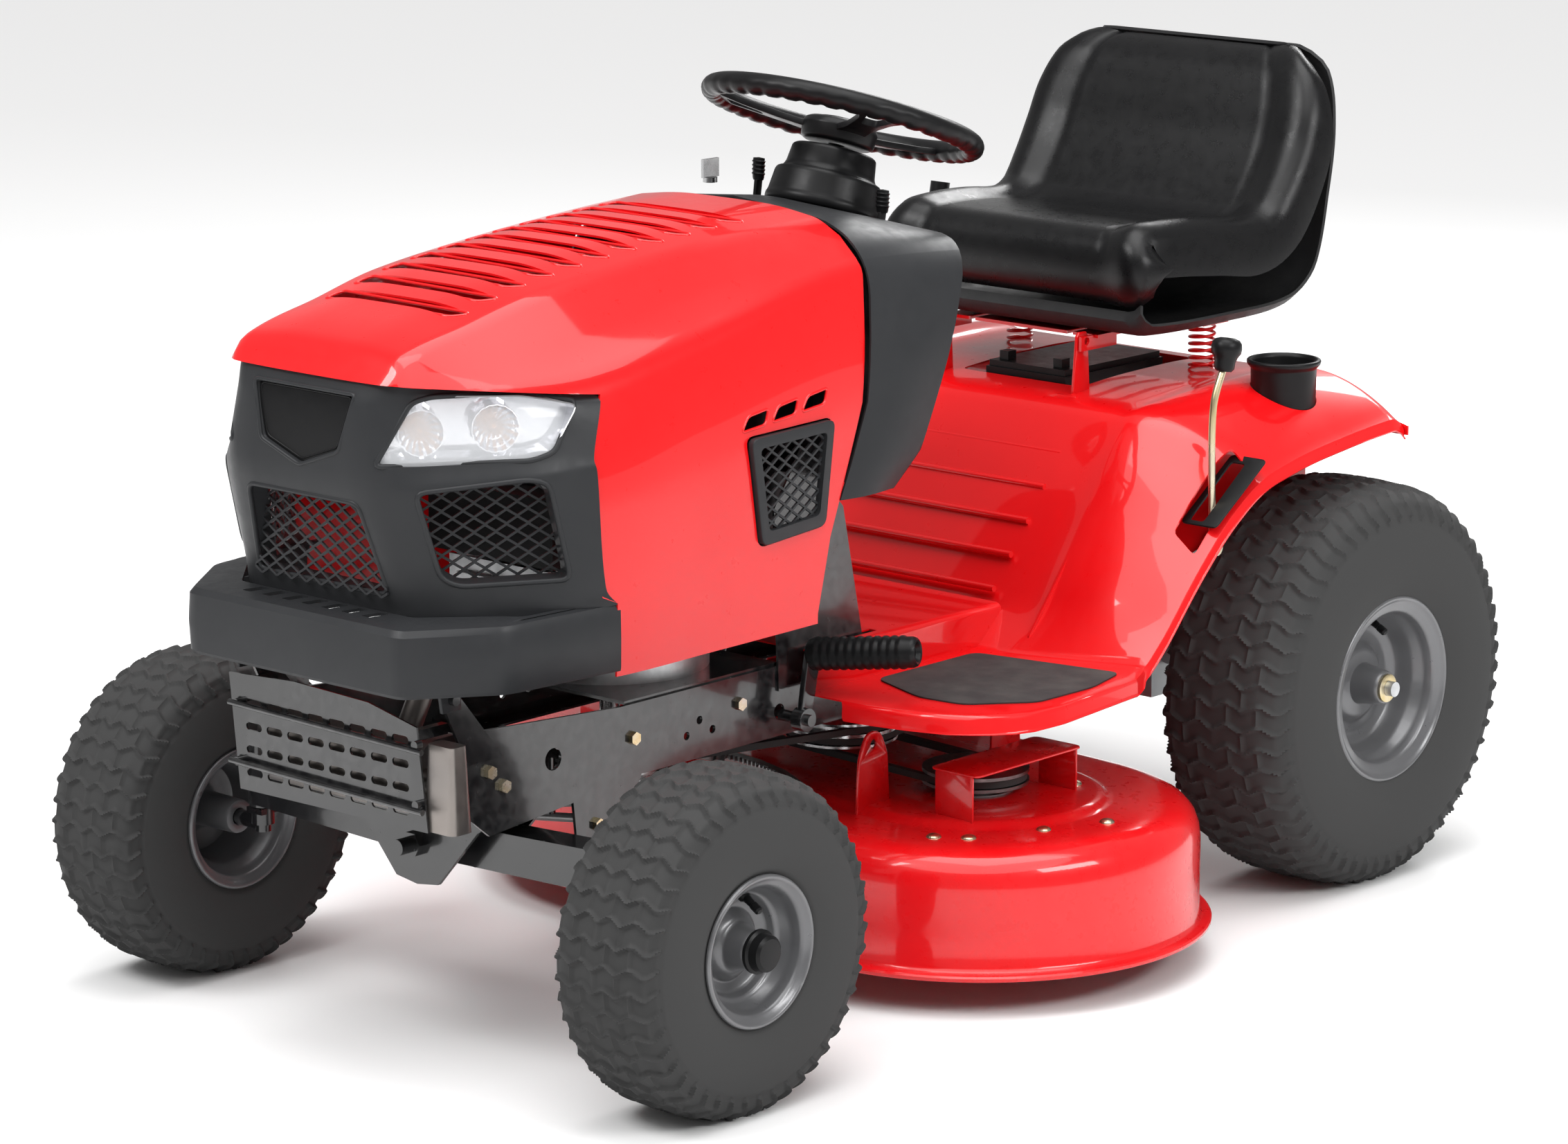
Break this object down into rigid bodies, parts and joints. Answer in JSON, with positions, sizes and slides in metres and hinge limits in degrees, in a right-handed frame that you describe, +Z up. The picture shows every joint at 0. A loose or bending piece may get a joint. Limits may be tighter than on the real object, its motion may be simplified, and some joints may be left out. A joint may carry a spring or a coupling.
{
  "type": "riding lawn mower",
  "caption": "Riding lawn mower with a tilting hood, a bucket seat on a pressed fender body, a steered front axle and a twin-blade side-discharge mowing deck slung under the frame.",
  "frame": {"origin": "on the ground under the middle of the rear axle", "axes": "+X to the driver's left, +Y to the back, +Z up; the nose points along -Y"},
  "size_m": [1.2329, 1.714, 1.06],
  "materials": {
    "tyre_rubber": "moulded",
    "rim_steel": "satin",
    "black_steel": "gloss",
    "zinc_steel": "zinc plated",
    "red_paint": "gloss",
    "grey_plastic": "satin",
    "black_plastic": "moulded",
    "clear_lens": "clear",
    "reflector": "bright",
    "bare_metal": "cast",
    "grit_pad": "gritty",
    "vinyl": "grained",
    "pulley_steel": "turned",
    "belt_rubber": "ribbed"
  },
  "bodies": {
    "chassis": {"battery": "black_plastic", "cup_holder": "black_plastic", "dash_panel": "grey_plastic", "drive_belts": "belt_rubber", "engine_block": "bare_metal", "engine_shroud": "black_plastic", "fender_body": "red_paint", "foot_pads": "grit_pad", "frame_bolts": "zinc_steel", "frame_plates": "black_steel", "frame_rails": "black_steel", "front_pivot_bracket": "black_steel", "fuel_tank": "black_plastic", "muffler": "bare_metal", "muffler_guard": "black_steel", "shift_plate": "black_plastic", "steering_column": "black_plastic", "transaxle": "bare_metal"},
    "front_axle": {"front_axle_bar": "black_steel"},
    "spindle_left": {"spindle_left": "black_steel"},
    "spindle_right": {"spindle_right": "black_steel"},
    "drag_link_left": {"drag_link_left": "zinc_steel"},
    "drag_link_right": {"drag_link_right": "zinc_steel"},
    "front_wheel_left": {"front_tyre_left": "tyre_rubber", "front_rim_left": "rim_steel"},
    "front_wheel_right": {"front_tyre_right": "tyre_rubber", "front_rim_right": "rim_steel"},
    "rear_wheel_left": {"rear_tyre_left": "tyre_rubber", "rear_rim_left": "rim_steel"},
    "rear_wheel_right": {"rear_tyre_right": "tyre_rubber", "rear_rim_right": "rim_steel"},
    "steering": {"steering_wheel": "black_plastic", "steering_shaft": "black_steel"},
    "sector": {"sector_gear": "zinc_steel"},
    "hood": {"hood_shell": "red_paint", "front_fascia": "grey_plastic", "front_grilles": "grey_plastic", "headlight_lenses": "clear_lens", "headlight_reflectors": "reflector", "badge_plate": "black_plastic", "side_vents": "grey_plastic", "bumper": "grey_plastic"},
    "seat_hinge": {"seat_bracket": "red_paint"},
    "seat": {"seat_cushion": "vinyl", "seat_pan": "black_plastic"},
    "shift": {"shift_lever": "zinc_steel"},
    "lift": {"lift_lever": "black_plastic"},
    "pedal": {"brake_pedal": "black_steel"},
    "throttle": {"throttle_lever": "black_plastic"},
    "blade_control": {"blade_lever": "black_plastic"},
    "key": {"ignition_key": "black_plastic"},
    "crank": {"engine_pulley": "pulley_steel"},
    "variable": {"variable_pulley": "pulley_steel"},
    "input": {"input_pulley": "pulley_steel"},
    "deck": {"deck_shell": "red_paint", "spindle_housings": "bare_metal", "deck_belt": "belt_rubber"},
    "blade_left": {"blade_left": "pulley_steel"},
    "blade_right": {"blade_right": "pulley_steel"},
    "chute": {"discharge_chute": "black_plastic"}
  },
  "joints": [
    {"name": "axle_rock", "type": "hinge", "parent": "chassis", "child": "front_axle", "pos_m": [0, -1.226, 0.234], "axis": [0, 1, 0], "range_deg": [-6, 6]},
    {"name": "steering_turn", "type": "hinge", "parent": "chassis", "child": "steering", "pos_m": [0, -0.542, 0.991], "axis": [0, 0.3404, 0.9403], "range_deg": [-268, 268]},
    {"name": "sector_turn", "type": "hinge", "parent": "chassis", "child": "sector", "pos_m": [0, -1.06, 0.24], "axis": [0, 0, 1], "range_deg": [-33, 33]},
    {"name": "king_left", "type": "hinge", "parent": "front_axle", "child": "spindle_left", "pos_m": [0.312, -1.226, 0.25], "axis": [0, 0, 1], "range_deg": [-33, 33]},
    {"name": "king_right", "type": "hinge", "parent": "front_axle", "child": "spindle_right", "pos_m": [-0.312, -1.226, 0.25], "axis": [0, 0, 1], "range_deg": [-33, 33]},
    {"name": "link_left_turn", "type": "hinge", "parent": "spindle_left", "child": "drag_link_left", "pos_m": [0.312, -1.136, 0.1965], "axis": [0, 0, 1], "range_deg": [-33, 33]},
    {"name": "link_right_turn", "type": "hinge", "parent": "spindle_right", "child": "drag_link_right", "pos_m": [-0.312, -1.136, 0.1965], "axis": [0, 0, 1], "range_deg": [-33, 33]},
    {"name": "front_left_spin", "type": "hinge", "parent": "spindle_left", "child": "front_wheel_left", "pos_m": [0.415, -1.226, 0.1905], "axis": [1, 0, 0], "continuous": true},
    {"name": "front_right_spin", "type": "hinge", "parent": "spindle_right", "child": "front_wheel_right", "pos_m": [-0.415, -1.226, 0.1905], "axis": [1, 0, 0], "continuous": true},
    {"name": "rear_left_spin", "type": "hinge", "parent": "chassis", "child": "rear_wheel_left", "pos_m": [0.3565, 0, 0.254], "axis": [1, 0, 0], "continuous": true},
    {"name": "rear_right_spin", "type": "hinge", "parent": "chassis", "child": "rear_wheel_right", "pos_m": [-0.3565, 0, 0.254], "axis": [1, 0, 0], "continuous": true},
    {"name": "hood_tilt", "type": "hinge", "parent": "chassis", "child": "hood", "pos_m": [0, -1.378, 0.448], "axis": [1, 0, 0], "range_deg": [0, 60]},
    {"name": "seat_tilt", "type": "hinge", "parent": "chassis", "child": "seat_hinge", "pos_m": [0, -0.215, 0.688], "axis": [1, 0, 0], "range_deg": [0, 72]},
    {"name": "seat_slide", "type": "slide", "parent": "seat_hinge", "child": "seat", "axis": [0, 1, 0], "range_m": [-0.045, 0.045]},
    {"name": "shift_move", "type": "hinge", "parent": "chassis", "child": "shift", "pos_m": [0.369, -0.275, 0.47], "axis": [1, 0, 0], "range_deg": [-8, 8]},
    {"name": "lift_move", "type": "hinge", "parent": "chassis", "child": "lift", "pos_m": [-0.33, -0.02, 0.548], "axis": [1, 0, 0], "range_deg": [-24, 16]},
    {"name": "deck_height", "type": "slide", "parent": "chassis", "child": "deck", "axis": [0, 0, 1], "range_m": [-0.0201, 0.0301]},
    {"name": "pedal_press", "type": "hinge", "parent": "chassis", "child": "pedal", "pos_m": [0.186, -0.822, 0.325], "axis": [1, 0, 0], "range_deg": [0, 20], "stiffness_Nm_per_rad": 6, "springref_deg": -2.86},
    {"name": "throttle_move", "type": "hinge", "parent": "chassis", "child": "throttle", "pos_m": [0.1, -0.592, 0.85], "axis": [1, 0, 0], "range_deg": [-10, 18]},
    {"name": "blade_engage", "type": "hinge", "parent": "chassis", "child": "blade_control", "pos_m": [-0.1, -0.592, 0.85], "axis": [1, 0, 0], "range_deg": [-10, 18]},
    {"name": "key_turn", "type": "hinge", "parent": "chassis", "child": "key", "pos_m": [-0.165, -0.6, 0.92], "axis": [0, 0, 1], "range_deg": [0, 90]},
    {"name": "crank_spin", "type": "hinge", "parent": "chassis", "child": "crank", "pos_m": [0, -0.956, 0.274], "axis": [0, 0, 1], "continuous": true},
    {"name": "variable_spin", "type": "hinge", "parent": "chassis", "child": "variable", "pos_m": [0.1, -0.655, 0.274], "axis": [0, 0, 1], "continuous": true},
    {"name": "input_spin", "type": "hinge", "parent": "chassis", "child": "input", "pos_m": [0, -0.11, 0.267], "axis": [0, 0, 1], "continuous": true},
    {"name": "blade_left_spin", "type": "hinge", "parent": "deck", "child": "blade_left", "pos_m": [0.245, -0.575, 0.15], "axis": [0, 0, 1], "continuous": true},
    {"name": "blade_right_spin", "type": "hinge", "parent": "deck", "child": "blade_right", "pos_m": [-0.245, -0.535, 0.15], "axis": [0, 0, 1], "continuous": true},
    {"name": "chute_lift", "type": "hinge", "parent": "deck", "child": "chute", "pos_m": [-0.526, -0.57, 0.176], "axis": [0, 1, 0], "range_deg": [0, 75], "stiffness_Nm_per_rad": 1.5, "springref_deg": -5.73}
  ],
  "couplings": [
    {"joint": "sector_turn", "follows": "steering_turn", "ratio": 0.11565},
    {"joint": "king_left", "follows": "steering_turn", "ratio": 0.11565},
    {"joint": "king_right", "follows": "steering_turn", "ratio": 0.11565},
    {"joint": "link_left_turn", "follows": "steering_turn", "ratio": -0.11565},
    {"joint": "link_right_turn", "follows": "steering_turn", "ratio": -0.11565},
    {"joint": "blade_right_spin", "follows": "blade_left_spin", "ratio": 1},
    {"joint": "variable_spin", "follows": "crank_spin", "ratio": 1.1639},
    {"joint": "input_spin", "follows": "crank_spin", "ratio": 1.2909},
    {"joint": "deck_height", "follows": "lift_move", "m_per_rad": -0.07162}
  ]
}
